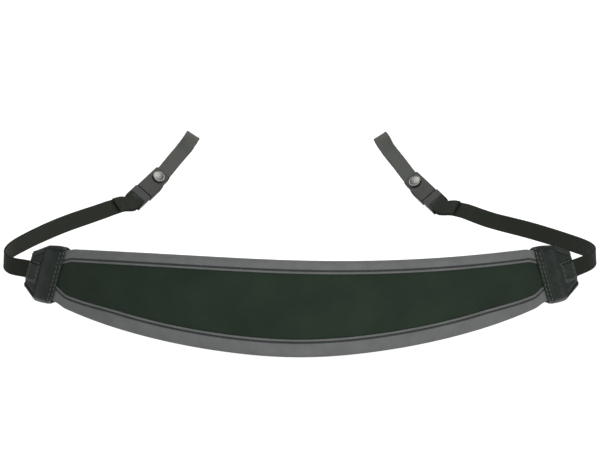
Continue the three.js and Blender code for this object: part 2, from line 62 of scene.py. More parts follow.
# The pad and its bound edges
PAD_HALF = 147.0  # from the middle to where the pad's taper ends, inside a tab, along the curve
PAD_TUCKED = 7.0  # hidden inside each tab
CURVE_HALF = 143.0  # the strap runs on straight beyond this
PLAN_RADIUS = 192.0
LEAN = math.radians(15)
MID_HEIGHT = 24.7
FOOT_AHEAD = 6.6
RIM_REACH = {"upper": (25.1, 15.8, 2.37, 1.1), "lower": (26.3, 14.2, 1.31, 0.0)}  # middle, end, power, sway
SWAY_TO = 140.0  # a rim with sway stands higher on the left half than on the right one, as far out as this
MID_ROUNDING = 0.15
TUCK_NARROWING = 0.9
CROWN, SHOULDER, HEM_LEVEL = 3.3, 2.9, 2.2  # half thickness in the middle, near the hem and at the hem
FULL_THICKNESS_TO = 110.0
END_THINNING = 0.7
BINDING_WIDTH = {"upper": (7.1, 7.1), "lower": (9.6, 7.8)}  # in the middle and beside the tabs
BINDING_NARROWS = (100.0, 138.0)
HEM_TURN = {"upper": (7.0, 0.6), "lower": (8.0, 0.75)}  # last stretch, and the hem's bend inwards there
TAB_FROM = -3.7  # a tab's edge on the pad, from the end of the pad's taper
SIDE_SIGN = {"upper": 1.0, "lower": -1.0}
RIM_RADIUS = 2.9
BINDING_WALL = 0.7
BEAD_WIDTH = 1.1  # the turned-in edge of the binding beside the panel
BEAD_LEVEL, ROLL_LEVEL = 2.55, 2.75  # half thickness of the binding at its bead and outside the sewn line
GROOVE_AT, GROOVE_HALF, GROOVE_DEPTH = 1.7, 0.5, 0.85  # the sewn line, out from the hem
ROLL_AT = 3.2
STITCH_PITCH = 3.2
PUCKER_DEPTH, PUCKER_FADE = 0.13, 1.5  # of the panel beside the stitched hem
WAVE_HEIGHT, SLOW_WAVE_HEIGHT = 0.10, 0.14
GATHER_HEIGHT, GATHER_FADE, GATHER_LENGTH = 0.22, 8.0, 1.35  # folds of the panel beside a tab
PAD_STATION = 0.8  # distance between the pad's cross-sections
HEM_STITCH = (2.7, 0.26)  # length and thread radius

# The leather tabs, a row for each section outwards: distance, reach up and down, half thickness
TAB_ROWS = np.array([
    (TAB_FROM, 16.6, 15.1, 3.1),
    (0.0, 16.8, 16.2, 3.5),
    (6.0, 16.4, 16.7, 3.6),
    (11.4, 15.4, 16.8, 2.9),
    (17.3, 12.5, 13.9, 2.5),
    (23.2, 9.6, 10.9, 2.2),
])
TAB_LENGTH = 23.2
TAB_SLANT = 0.14
TAB_STRETCH = {"left": -1.0, "right": 1.2}  # the two tabs are not quite the same length
MOUTH_RECEDES = 2.4  # at the pad's rims, from the tab's edge on the pad's face
TAB_EDGE_HALF = 1.2
TAB_CORNER = 2.2

# The webbing, the camera loops and the buckles
WEB_WIDTH, WEB_THICKNESS = 9.8, 1.4
WEB_ACROSS_TAB = -1.2
WEB_IN_TAB = 9.0
TAIL_LENGTH, TAIL_BLEND, TAIL_APPROACH, TAIL_BEND = 18.0, 8.0, 5.5, math.radians(22)
TAIL_ROWS, TAIL_ROW_HALF, TAIL_ROW_PITCH = (2.2, 4.0), 4.1, 1.7  # sewn rows, in from the tail's end
TAIL_STITCH = (1.5, 0.2)  # length and thread radius
LOOP_WIDTH, LOOP_THICKNESS = 9.3, 1.2
BIGHT_RADIUS, BIGHT_BLEND = 2.8, 11.0
BAR_RADIUS, BAR_INSET = 1.2, 1.5
BUCKLE_THICKNESS = 5.0
PLUG_HALF, PLUG_LENGTH = 6.05, 11.0
BODY_UPPER, BODY_LOWER, BODY_LENGTH = 5.5, 6.6, 12.0
NECK_HALF, NECK_LENGTH = 5.45, 9.0
BUCKLE_LENGTH = PLUG_LENGTH + GAP + BODY_LENGTH + NECK_LENGTH
CORNER_RADIUS = 1.6
TONGUE = (9.5, 8.6, 2.2)  # length, width, thickness
STRAP_POCKET = 9.3
STUD_HEAD, STUD_HEIGHT, STUD_SHANK, STUD_BACK, STUD_BACK_HEIGHT = 4.0, 1.2, 1.5, 2.6, 0.6
STUD_RIM, DOME_SHARE, DOME_FROM = 0.45, 0.84, 0.75  # the rolled rim's radius, the dome's width and foot
STUD_BORE = [(0, -6), (STUD_SHANK + GAP, -6), (STUD_SHANK + GAP, 6), (0, 6)]  # radius and height
STUD_AT = BUCKLE_LENGTH - 5.8

# How each side lies: rows of out, back, up and the roll of the strap's width in degrees
WEBBING_ROUTE = {
    "left": [
        (162.2, 86.4, 22.5, -10),
        (166.6, 96.8, 22.8, -4),
        (165, 109, 23.6, 2),
        (157.7, 126, 24, 8),
        (140.4, 162, 22.8, 18),
        (119.4, 197, 21, 34),
        (108.4, 211.5, 21.1, 44),
    ],
    "right": [
        (162.4, 86.8, 24.6, -10),
        (166.4, 97, 24.7, -4),
        (164.6, 109, 24.2, 2),
        (155.9, 126, 23.1, 8),
        (135.3, 155.2, 21.6, 18),
        (113.6, 181.5, 20.1, 30),
        (93.8, 203.6, 20.9, 44),
    ],
}
BUCKLE_ENDS = {
    "left": ((102.8, 220.6, 19.4), (85.5, 245.3, 30.4)),
    "right": ((86, 215.2, 18.4), (67.7, 242.6, 29.6)),
}
BUCKLE_ROLL = 50
LOOP_ROUTE = {
    "left": [(78.4, 251.8, 37.6, 47), (70.5, 257.8, 46, 44), (68.2, 260.3, 49.1, 43)],
    "right": [(61.3, 249.6, 36.9, 47), (54.2, 256, 44.7, 44), (51.5, 259.7, 48.7, 43)],
}
X_SIGN = {"left": -1.0, "right": 1.0}

# Seen as in the photo
VIEW_DOWN = math.radians(17)
VIEW_FROM = np.array([0.0, -1222.9, 446.35])  # in the pad's frame
SENSOR, IMAGE_WIDTH, FOCAL_PIXELS = 36.0, 600, 2457


# Small maths
def smoothstep(x, low, high):
    t = np.clip((np.asarray(x, float) - low) / (high - low), 0, 1)
    return t * t * (3 - 2 * t)


def hump(x, middle, half):
    """A smooth bump of height 1 round middle."""
    return np.exp(-(((x - middle) / half) ** 2))


def unit(v):
    return v / np.linalg.norm(v, axis=-1, keepdims=True)


def across_of(v, axis):
    """The part of v that is square to the unit vector axis."""
    return v - np.sum(v * axis, axis=-1, keepdims=True) * axis


# Meshes
def new_piece(name, points, faces, material, lay=None):
    """A smooth mesh piece from points in mm. lay is each point's place on its cloth, for the material."""
    mesh = bpy.data.meshes.new(name)
    placed = (np.asarray(points, float) - LUGS) * MM
    mesh.from_pydata(placed.tolist(), [], faces)
    if lay is not None:
        attribute = mesh.attributes.new("lay", "FLOAT_VECTOR", "POINT")
        attribute.data.foreach_set("vector", np.asarray(lay, np.float32).ravel())
    mesh.polygons.foreach_set("use_smooth", [True] * len(mesh.polygons))
    mesh.materials.append(material)
    piece = bpy.data.objects.new(name, mesh)
    bpy.context.scene.collection.objects.link(piece)
    return piece


def ring_faces(stations, count):
    """Quads of a closed tube through rings of points, and its two end faces, wound to point outwards."""
    i, j = np.meshgrid(np.arange(stations - 1), np.arange(count), indexing="ij")
    a, b = i * count + j, i * count + (j + 1) % count
    quads = np.stack([a, b, b + count, a + count], axis=-1).reshape(-1, 4).tolist()
    first = list(range(count))[::-1]
    last = [(stations - 1) * count + k for k in range(count)]
    return [*quads, first, last]


def signed_volume(points, faces):
    total = 0.0
    for face in faces:
        corners = points[face]
        fan = np.cross(corners[1:-1], corners[2:])
        total += float(np.sum(corners[0] * fan))
    return total


def tube(name, rings, material, lay=None):
    """A closed piece through rings of points (stations, points on a ring, 3)."""
    stations, count = rings.shape[:2]
    points = rings.reshape(-1, 3)
    faces = ring_faces(stations, count)
    if signed_volume(points - points.mean(axis=0), faces) < 0:
        faces = [face[::-1] for face in faces]
    return new_piece(name, points, faces, material, None if lay is None else lay.reshape(-1, 3))


def on_side(rings, side):
    """Points worked out for the right side, put on the side that is asked for."""
    return rings * np.array([X_SIGN[side], 1.0, 1.0])


def add_modifier(piece, kind, **settings):
    modifier = piece.modifiers.new(kind.lower(), kind)
    for key, value in settings.items():
        setattr(modifier, key, value)


def apply_modifiers(piece):
    bpy.context.view_layer.update()
    evaluated = piece.evaluated_get(bpy.context.evaluated_depsgraph_get())
    mesh = bpy.data.meshes.new_from_object(evaluated)
    piece.modifiers.clear()
    piece.data = mesh


def combine(piece, other, operation):
    """Cuts other out of piece, or joins it on, and removes it."""
    add_modifier(piece, "BOOLEAN", object=other, operation=operation, solver="EXACT")
    apply_modifiers(piece)
    bpy.data.objects.remove(other)


# Pad
def pad_point(along, across, off):
    """A place on the standing pad: along it from its middle, up across it and out of its front face."""
    on_curve = np.clip(along, -CURVE_HALF, CURVE_HALF)
    angle = on_curve / PLAN_RADIUS
    radius = PLAN_RADIUS - across * math.sin(LEAN) + off * math.cos(LEAN)
    beyond = along - on_curve
    return np.stack([
        radius * np.sin(angle) + beyond * np.cos(angle),
        PLAN_RADIUS + FOOT_AHEAD - radius * np.cos(angle) + np.abs(beyond * np.sin(angle)),
        MID_HEIGHT + across * math.cos(LEAN) + off * math.sin(LEAN),
    ], axis=-1)


def rim_reach(along, edge):
    middle, end, power, sway = RIM_REACH[edge]
    share = np.abs(along) / PAD_HALF
    taper = np.hypot(share, MID_ROUNDING) ** power - MID_ROUNDING ** power
    swayed = sway * np.sin(np.pi * np.clip(along / SWAY_TO, -1, 1))
    return middle - (middle - end) * taper - TUCK_NARROWING * smoothstep(share, 0.93, 0.98) - swayed


def thinning(along):
    return 1 - (1 - END_THINNING) * smoothstep(np.abs(along), FULL_THICKNESS_TO, PAD_HALF)


def hem_width(along, edge):
    """The binding's width: the lower one narrows towards the tabs, and both hems bend in just beside them."""
    middle, end = BINDING_WIDTH[edge]
    stretch, turn = HEM_TURN[edge]
    t = np.clip((np.abs(along) - PAD_HALF - TAB_FROM + stretch) / stretch, 0, 1.2)
    return middle + (end - middle) * smoothstep(np.abs(along), *BINDING_NARROWS) + turn * t ** 2


def pad_stations():
    ends = PAD_HALF + PAD_TUCKED
    return np.linspace(-ends, ends, int(2 * ends / PAD_STATION) + 1)


def panel_relief(along, across, from_hem, face):
    """Small unevenness of the padded panel: puckers at the stitches, slow waves and gathers at the tabs."""
    stitched = 0.5 + 0.5 * np.cos(2 * np.pi * along / STITCH_PITCH)
    pucker = -PUCKER_DEPTH * np.exp(-from_hem / PUCKER_FADE) * stitched
    wave = WAVE_HEIGHT * np.sin(along / 9.5 + 0.7 * face) * np.sin(across / 7.0 + along / 31.0)
    slow = SLOW_WAVE_HEIGHT * np.sin(along / 23.0 + 1.1 + face)
    to_tab = np.maximum(PAD_HALF + TAB_FROM - np.abs(along), 0)
    folds = np.cos(across / GATHER_LENGTH + np.sign(along) * 0.8)
    gather = GATHER_HEIGHT * np.exp(-to_tab / GATHER_FADE) * folds
    inside = smoothstep(from_hem, 0.3, 5.0)
    return pucker + inside * (wave + slow + gather)


def panel_face(along, face):
    """Rings of the panel's face from the upper hem to the lower one, as across and off."""
    top = rim_reach(along, "upper") - hem_width(along, "upper")
    bottom = hem_width(along, "lower") - rim_reach(along, "lower")
    share = 0.5 - 0.5 * np.cos(np.linspace(0, np.pi, 45))
    across = top[:, None] + (bottom - top)[:, None] * share
    from_hem = np.minimum(top[:, None] - across, across - bottom[:, None])
    middle = 0.5 * (top - bottom)[:, None]
    rise = (SHOULDER - HEM_LEVEL) * (1 - np.exp(-from_hem / 1.4))
    dome = (CROWN - SHOULDER) * (1 - (1 - np.clip(from_hem / middle, 0, 1)) ** 2)
    level = HEM_LEVEL - 0.25 + rise + dome
    off = level * thinning(along)[:, None] + panel_relief(along[:, None], across, from_hem, face)
    return across, off * face


def pad_rim(along, edge):
    """The pad's hidden edge inside the binding, from its front hem round to the back one."""
    width, reach = hem_width(along, edge), rim_reach(along, edge)
    depth = BINDING_WALL + 2 * GAP
    thin = thinning(along)
    shape = [(width + GAP, 1.6), (width - GROOVE_AT, 0.75), (width - ROLL_AT, 1.3)]
    front = [(inward, level * thin) for inward, level in shape]
    arc = [math.radians(a) for a in (60, 30, 0)]
    front += [
        (depth + (RIM_RADIUS - depth) * (1 - math.cos(a)), (RIM_RADIUS * thin - depth) * math.sin(a))
        for a in arc
    ]
    around = front + [(inward, -off) for inward, off in front[-2::-1]]
    across = np.stack([SIDE_SIGN[edge] * (reach - inward) + 0 * along for inward, _ in around], axis=1)
    off = np.stack([o + 0 * along for _, o in around], axis=1)
    return across, off


def make_pad(material):
    along = pad_stations()
    front, back = panel_face(along, 1), panel_face(along, -1)
    upper, lower = pad_rim(along, "upper"), pad_rim(along, "lower")
    parts = [
        (front[0], front[1]),
        (lower[0], lower[1]),
        (back[0][:, ::-1], back[1][:, ::-1]),
        (upper[0][:, ::-1], upper[1][:, ::-1]),
    ]
    across = np.concatenate([a for a, _ in parts], axis=1)
    off = np.concatenate([o for _, o in parts], axis=1)
    stretched = np.broadcast_to(along[:, None], across.shape)
    lay = np.stack([stretched, across, off], axis=-1)
    return tube("neck_pad_cushion", pad_point(stretched, across, off), material, lay)


# Bindings
def binding_level(x, along):
    """Half thickness of the binding at a distance out from its hem."""
    level = BEAD_LEVEL + (ROLL_LEVEL - BEAD_LEVEL) * smoothstep(x, 0, ROLL_AT)
    level = level + (RIM_RADIUS - ROLL_LEVEL) * smoothstep(x, 3, 6)
    groove = GROOVE_DEPTH * hump(x, GROOVE_AT, GROOVE_HALF)
    corner = 0.55 * (1 - np.clip(x / (0.55 * BEAD_WIDTH), 0, 1)) ** 2.2
    stitched = np.cos(2 * np.pi * along / STITCH_PITCH)
    pucker = 0.09 * stitched * np.exp(-np.abs(x - ROLL_AT) / 1.1)
    ease = 0.07 * np.sin(along / 5.3 + 0.35 * x) * np.sin(along / 13.7 + 1.3) * smoothstep(x, 2.6, 5)
    return level - groove - corner + pucker + ease


def binding_half(along, edge, inset):
    """One face from hem to rim: distance in from the rim, half thickness and distance from the hem."""
    width = hem_width(along, edge)[:, None]
    flat = width - RIM_RADIUS
    steps = np.concatenate([np.linspace(0, 1.2, 9), np.linspace(1.28, 2.3, 13), np.linspace(2.5, 3.6, 6)])
    beyond = np.linspace(0, 1, 9)[1:]
    near_hem = np.broadcast_to(steps, (len(along), len(steps)))
    x = np.concatenate([near_hem, steps[-1] + (flat - steps[-1]) * beyond], axis=1)
    off = binding_level(x, along[:, None]) * thinning(along)[:, None] - inset
    inward = width - x
    angle = np.linspace(np.pi / 2, 0, 9)[1:]
    rim_off = (RIM_RADIUS * thinning(along)[:, None] - inset) * np.sin(angle)
    rim_in = inset + (RIM_RADIUS - inset) * (1 - np.cos(angle)) + 0 * rim_off
    from_hem = np.concatenate([x, width - rim_in], axis=1)
    return np.concatenate([inward, rim_in], axis=1), np.concatenate([off, rim_off], axis=1), from_hem


def make_binding(edge, material):
    along = pad_stations()
    halves = []
    for inset in (0.0, BINDING_WALL):
        inward, off, from_hem = binding_half(along, edge, inset)
        inward = np.concatenate([inward, inward[:, -2::-1]], axis=1)
        from_hem = np.concatenate([from_hem, from_hem[:, -2::-1]], axis=1)
        off = np.concatenate([off, -off[:, -2::-1]], axis=1)
        halves.append((inward, off, from_hem))
    outer, inner = halves
    inward, off, from_hem = (np.concatenate([o, i[:, ::-1]], axis=1) for o, i in zip(outer, inner))
    across = SIDE_SIGN[edge] * (rim_reach(along, edge)[:, None] - inward)
    stretched = np.broadcast_to(along[:, None], across.shape)
    lay = np.stack([stretched, from_hem, off], axis=-1)
    return tube(f"{edge}_binding_cloth", pad_point(stretched, across, off), material, lay)


# Stitches
STITCH_SIDES, STITCH_RINGS = 8, 7


def stitch_mesh(name, centres, ahead, normal, length, radius, material):
    """Thread stitches as one piece: short arched lengths of thread whose ends go down into the cloth."""
    t = np.linspace(-1, 1, STITCH_RINGS)
    turn = np.linspace(0, 2 * np.pi, STITCH_SIDES, endpoint=False)
    side = np.cross(ahead, normal)
    thick = radius * np.sqrt(np.maximum(1 - np.abs(t) ** 5, 0.02))
    arch = radius * (0.7 - 1.5 * t ** 2)
    core = centres[:, None] + ahead[:, None] * (t * length / 2)[:, None] + normal[:, None] * arch[:, None]
    round_ = side[:, None, None] * np.cos(turn)[:, None] + normal[:, None, None] * np.sin(turn)[:, None]
    rings = core[:, :, None] + round_ * thick[:, None, None]
    count = STITCH_RINGS * STITCH_SIDES
    single = ring_faces(STITCH_RINGS, STITCH_SIDES)
    if signed_volume(rings[0].reshape(-1, 3) - rings[0].mean(axis=(0, 1)), single) < 0:
        single = [face[::-1] for face in single]
    faces = [[v + k * count for v in face] for k in range(len(centres)) for face in single]
    lay = np.zeros(rings.shape)
    lay[..., 0] = (t * length / 2)[None, :, None]
    lay[..., 1] = turn / (2 * np.pi)
    lay[..., 2] = np.arange(len(centres))[:, None, None]
    return new_piece(name, rings.reshape(-1, 3), faces, material, lay.reshape(-1, 3))


def stitches_along(place, pitch, start, stop):
    """Middles, directions and normals of a row of stitches. place(t, off) gives a point over the cloth."""
    at = np.arange(start + pitch / 2, stop, pitch)
    centres = place(at, 0.0)
    ahead = unit(place(at + 0.2, 0.0) - place(at - 0.2, 0.0))
    normal = unit(across_of(place(at, 0.5) - centres, ahead))
    return centres, ahead, normal


def joined(rows):
    return [np.concatenate(column) for column in zip(*rows)]


def make_hem_stitches(edge, material):
    def row(face):
        def place(along, lift):
            across = SIDE_SIGN[edge] * (rim_reach(along, edge) - hem_width(along, edge) + GROOVE_AT)
            level = binding_level(GROOVE_AT, along) * thinning(along)
            return pad_point(along, across, face * (level + 0.1 + lift))

        end = PAD_HALF + TAB_FROM
        return stitches_along(place, STITCH_PITCH, -end, end)

    centres, ahead, normal = joined([row(1), row(-1)])
    return stitch_mesh(f"{edge}_hem_stitches", centres, ahead, normal, *HEM_STITCH, material)


# Tabs
STITCH_ROWS = (TAB_FROM + 1.0, TAB_FROM + 3.3)  # beside the pad
VALLEY_DEPTH = 0.32  # under each of those rows
BAND_FROM, BAND_TO, BAND_HEIGHT = 1.4, 10.4, 0.5  # the raised band over the pad's end
RIDGE_AT, RIDGE_HEIGHT = 11.0, 0.6
STEP_AT, STEP_DEPTH = 12.2, 0.5  # a hollow line beyond the ridge
WEB_BUMP_FROM, WEB_BUMP_HEIGHT = 12.4, 0.7
BOX_FROM, BOX_TO, BOX_HALF, BOX_DEPTH = 13.4, 21.4, 5.4, 0.3  # the sewn box round the webbing's end
LIP_AT, LIP_HEIGHT = 1.6, 0.4  # a raised lip inside the tab's cut edge
LIP_LINE_AT, LIP_LINE_DEPTH = 2.9, 0.3  # a pressed line inside the lip
CREASE_HEIGHT = 0.09
TAB_STITCH = (2.1, 0.24)  # length and thread radius
ROW_PITCH, BOX_LONG_PITCH, BOX_SHORT_PITCH = 2.6, 2.4, 2.52
ROW_LIFT, BOX_LIFT = 0.08, 0.05  # of the thread's middle over the leather


def tab_reach(out):
    """How far the tab reaches up and down at a distance out from the pad, with its corners a little round."""
    blur = np.linspace(-1.3, 1.3, 7)
    near = np.clip(np.asarray(out, float)[..., None] + blur, TAB_FROM, TAB_LENGTH)
    return [np.interp(near, TAB_ROWS[:, 0], TAB_ROWS[:, k]).mean(axis=-1) for k in (1, 2)]


def tab_along(out, across, side):
    """A tab's place along the pad's curve: slanted, and drawn back where it wraps the pad's rims."""
    up, down = tab_reach(out)
    edge = np.minimum(up - across, down + across)
    receded = MOUTH_RECEDES * (1 - smoothstep(edge, 0, 2.4)) * (1 - smoothstep(out, TAB_FROM, 1.5))
    stretched = TAB_STRETCH[side] * smoothstep(out, 8, TAB_LENGTH)
    return PAD_HALF + out - TAB_SLANT * across + receded + stretched


def tab_level(out, across):
    """Half thickness of the tab, with its stitched valleys, raised band, ridge and the webbing's bump."""
    up, down = tab_reach(out)
    blur = np.linspace(-1.6, 1.6, 7)
    near = np.clip(np.asarray(out, float)[..., None] + blur, TAB_FROM, TAB_LENGTH)
    base = np.interp(near, TAB_ROWS[:, 0], TAB_ROWS[:, 3]).mean(axis=-1)
    edge = np.minimum(up - across, down + across)
    band = BAND_HEIGHT * smoothstep(out, BAND_FROM - 0.5, BAND_FROM + 0.3)
    band = band * (1 - smoothstep(out, BAND_TO - 0.3, BAND_TO + 0.5)) * smoothstep(edge, 0.8, 2.4)
    valleys = sum(VALLEY_DEPTH * hump(out, row, 0.45) for row in STITCH_ROWS)
    ridge = RIDGE_HEIGHT * hump(out, RIDGE_AT, 0.5) * smoothstep(edge, 1.0, 2.6)
    ridge = ridge - STEP_DEPTH * hump(out, STEP_AT, 0.55)
    from_web = np.abs(across - WEB_ACROSS_TAB)
    outer = smoothstep(out, WEB_BUMP_FROM, WEB_BUMP_FROM + 0.9)
    sewn = BOX_DEPTH * hump(from_web, BOX_HALF, 0.5)
    sewn = sewn + BOX_DEPTH * hump(out, BOX_TO, 0.5) * (from_web < BOX_HALF)
    bump = outer * (WEB_BUMP_HEIGHT * (1 - smoothstep(from_web, 4.6, 6.4)) - sewn)
    lip = outer * (LIP_HEIGHT * hump(edge, LIP_AT, 0.7) - LIP_LINE_DEPTH * hump(edge, LIP_LINE_AT, 0.55))
    creases = CREASE_HEIGHT * np.sin(across / 1.3 + out / 2.3) * np.sin(out / 1.9 + across / 4.1)
    creases = creases * smoothstep(out, BAND_FROM, BAND_FROM + 1.5)
    full = base + band - valleys + ridge + bump + lip + creases
    end = 0.8 + 0.2 * smoothstep(TAB_LENGTH - out, 0, 1.3)
    rounded = np.sin(np.clip(edge / TAB_CORNER, 0, 1) * np.pi / 2) ** 0.8
    return TAB_EDGE_HALF + (full * end - TAB_EDGE_HALF) * rounded


def tab_ring(out, up, down, level_at):
    """One ring round the tab: front face from top to bottom, then the rear face."""
    share = np.sin(np.linspace(-np.pi / 2, np.pi / 2, 61)) * 0.5 + 0.5
    across = up - (up + down) * share
    level = level_at(across)
    off = np.concatenate([level, -level[::-1]])
    across = np.concatenate([across, across[::-1]])
    return np.stack([np.full(across.shape, out), across, off], axis=-1)


def tab_hollow(out, up, down, half):
    """A ring of a hollow in the tab, for the pad's end or the webbing."""
    def level_at(across):
        edge = np.minimum(up - across, down + across)
        return half * (0.55 + 0.45 * smoothstep(edge, 0, 1.0))

    return tab_ring(out, up, down, level_at)


def make_tab(side, material):
    rings = []
    for out in (PAD_TUCKED + GAP, TAB_FROM + 0.3):
        up, down = (float(rim_reach(PAD_HALF + out, edge)) + GAP for edge in ("upper", "lower"))
        rings.append(tab_hollow(out, up, down, CROWN * float(thinning(PAD_HALF + out)) + 1.4 * GAP))
    outside = np.arange(TAB_FROM + 0.35, TAB_LENGTH, 0.3)
    for out in [TAB_FROM, TAB_FROM + 0.12, *outside, TAB_LENGTH]:
        up, down = (float(reach) for reach in tab_reach(out))
        mouth = 0.25 * (1 - smoothstep(out, TAB_FROM, TAB_FROM + 0.35))
        rings.append(tab_ring(out, up - mouth, down - mouth, lambda v: tab_level(out, v) - mouth))
    slot = [WEB_WIDTH / 2 + GAP + sign * WEB_ACROSS_TAB for sign in (1, -1)]
    rings += [tab_hollow(out, *slot, WEB_THICKNESS / 2 + GAP) for out in (TAB_LENGTH - 0.1, WEB_IN_TAB - GAP)]
    lay = np.stack(rings)
    out, across, off = lay[..., 0], lay[..., 1], lay[..., 2]
    placed = pad_point(tab_along(out, across, side), across, off)
    return tube(f"{side}_tab_leather", on_side(placed, side), material, lay)


def tab_place(out, across, lift, face, side):
    level = tab_level(out, across)
    return pad_point(tab_along(out, across, side), across, face * (level + lift))


def make_tab_stitches(side, material):
    """Two rows beside the pad and a box round the webbing's end, on both faces."""
    box_low, box_high = WEB_ACROSS_TAB - BOX_HALF, WEB_ACROSS_TAB + BOX_HALF

    def row_across(at, pitch, low, high, over, face):
        def place(across, lift):
            return tab_place(np.full(np.shape(across), at), across, lift + over, face, side)

        return stitches_along(place, pitch, low, high)

    def row_along(across, face):
        def place(out, lift):
            return tab_place(out, np.full(np.shape(out), across), lift + BOX_LIFT, face, side)

        return stitches_along(place, BOX_LONG_PITCH, BOX_FROM, BOX_TO)

    rows = []
    for face in (1, -1):
        for at in STITCH_ROWS:
            up, down = (float(reach) - 1.6 for reach in tab_reach(at))
            rows.append(row_across(at, ROW_PITCH, -down, up, ROW_LIFT, face))
        rows += [row_along(across, face) for across in (box_low, box_high)]
        for at in (BOX_FROM, BOX_TO):
            rows.append(row_across(at, BOX_SHORT_PITCH, box_low, box_high, BOX_LIFT, face))
    centres, ahead, normal = (on_side(v, side) for v in joined(rows))
    return stitch_mesh(f"{side}_tab_stitches", centres, ahead, normal, *TAB_STITCH, material)


# Straps
def strap_axes(ahead, roll):
    """The strap's width and face for the way it runs and its roll in degrees from upright."""
    upright = unit(across_of(np.array([0.0, 0.0, 1.0]), ahead))
    sideways = np.cross(ahead, upright)
    turn = np.radians(roll)[..., None]
    width = upright * np.cos(turn) + sideways * np.sin(turn)
    return width, np.cross(width, ahead)


class StrapLine:
    """A smooth line through rows of points (centripetal Catmull-Rom) with the strap's frame along it."""

    STEPS = 60

    def __init__(self, points, rolls, end_width=None, end_over=0.0):
        points = np.asarray(points, float)
        self.end_width, self.end_over = end_width, end_over
        padded = np.concatenate([[2 * points[0] - points[1]], points, [2 * points[-1] - points[-2]]])
        knots = np.linalg.norm(np.diff(padded, axis=0), axis=1) ** 0.5
        t = np.linspace(0, 1, self.STEPS, endpoint=False)[:, None]
        pieces = []
        for i in range(1, len(points)):
            p0, p1, p2, p3 = padded[i - 1:i + 3]
            k0, k1, k2 = knots[i - 1:i + 2]
            m1 = ((p1 - p0) / k0 - (p2 - p0) / (k0 + k1) + (p2 - p1) / k1) * k1
            m2 = ((p2 - p1) / k1 - (p3 - p1) / (k1 + k2) + (p3 - p2) / k2) * k1
            square = -3 * p1 + 3 * p2 - 2 * m1 - m2
            cube = 2 * p1 - 2 * p2 + m1 + m2
            pieces.append(p1 + m1 * t + square * t ** 2 + cube * t ** 3)
        self.points = np.concatenate([*pieces, points[-1:]])
        steps = np.linalg.norm(np.diff(self.points, axis=0), axis=1)
        self.at = np.concatenate([[0], np.cumsum(steps)])
        self.length = self.at[-1]
        self.row_at = self.at[::self.STEPS]
        self.rolls = np.asarray(rolls, float)

    def roll_at(self, distance):
        row = np.clip(np.searchsorted(self.row_at, distance) - 1, 0, len(self.rolls) - 2)
        share = smoothstep((distance - self.row_at[row]) / (self.row_at[row + 1] - self.row_at[row]), 0, 1)
        return self.rolls[row] + (self.rolls[row + 1] - self.rolls[row]) * share

    def point_at(self, distance):
        return np.stack([np.interp(distance, self.at, self.points[:, k]) for k in range(3)], axis=-1)

    def frame_at(self, distance):
        """Point, direction, width and face at distances along the line."""
        distance = np.clip(np.asarray(distance, float), 0, self.length)
        reach = 0.4
        low, high = np.maximum(distance - reach, 0), np.minimum(distance + reach, self.length)
        ahead = unit(self.point_at(high) - self.point_at(low))
        width, _ = strap_axes(ahead, self.roll_at(distance))
        if self.end_width is not None:
            over = self.end_over
            share = smoothstep(distance, self.length - 2 * over, self.length - over)[..., None]
            width = unit(across_of(width + (self.end_width - width) * share, ahead))
        return self.point_at(distance), ahead, width, np.cross(width, ahead)


def folded_path(line, outward, homeward, spread, fold_reach):
    """Points and widths of a strap that runs along a line behind it, round a fold and back in front of it."""
    def layer(distance, side):
        point, _, width, face = line.frame_at(distance)
        return point + face * (side * spread(distance, side))[:, None], width

    point, ahead, width, face = (v[0] for v in line.frame_at([line.length]))
    turn = np.linspace(-np.pi / 2, np.pi / 2, 25)[1:-1, None]
    last = spread(np.array([line.length]), 1)
    fold = point + ahead * (fold_reach * np.cos(turn)) + face * (last * np.sin(turn))
    back, front = layer(outward, -1), layer(homeward, 1)
    points = np.concatenate([back[0], fold, front[0]])
    return points, np.concatenate([back[1], np.broadcast_to(width, fold.shape), front[1]])


def ribbon(name, points, widths, width, thickness, side, material):
    """A woven strap along a path: a flat section with thicker, rounded selvedges."""
    ahead = unit(np.gradient(points, axis=0))
    face = unit(np.cross(widths, ahead))
    across = np.cross(ahead, face)
    at = np.concatenate([[0], np.cumsum(np.linalg.norm(np.diff(points, axis=0), axis=1))])
    half = width / 2
    edge = thickness / 2
    flat = np.linspace(-(half - edge), half - edge, 17)
    bead = edge * (0.86 + 0.14 * hump(np.abs(flat), half - 0.95, 0.5))
    arc = np.linspace(0, np.pi, 9)[1:-1]
    turned = half - edge + edge * np.sin(arc)
    u = np.concatenate([flat, turned, flat[::-1], -turned])
    v = np.concatenate([bead, edge * np.cos(arc), -bead[::-1], -edge * np.cos(arc)])
    rings = points[:, None] + across[:, None] * u[:, None] + face[:, None] * v[:, None]
    lay = np.stack([
        np.broadcast_to(at[:, None], rings.shape[:2]),
        np.broadcast_to(u, rings.shape[:2]),
        np.broadcast_to(v, rings.shape[:2]),
    ], axis=-1)
    return tube(name, on_side(rings, side), material, lay)


def buckle_frame(side):
    """The buckle's start, direction, width and face on the right side."""
    start, end = (np.array(p, float) for p in BUCKLE_ENDS[side])
    ahead = unit(end - start)
    width, face = strap_axes(ahead, np.array(float(BUCKLE_ROLL)))
    return start, ahead, width, face


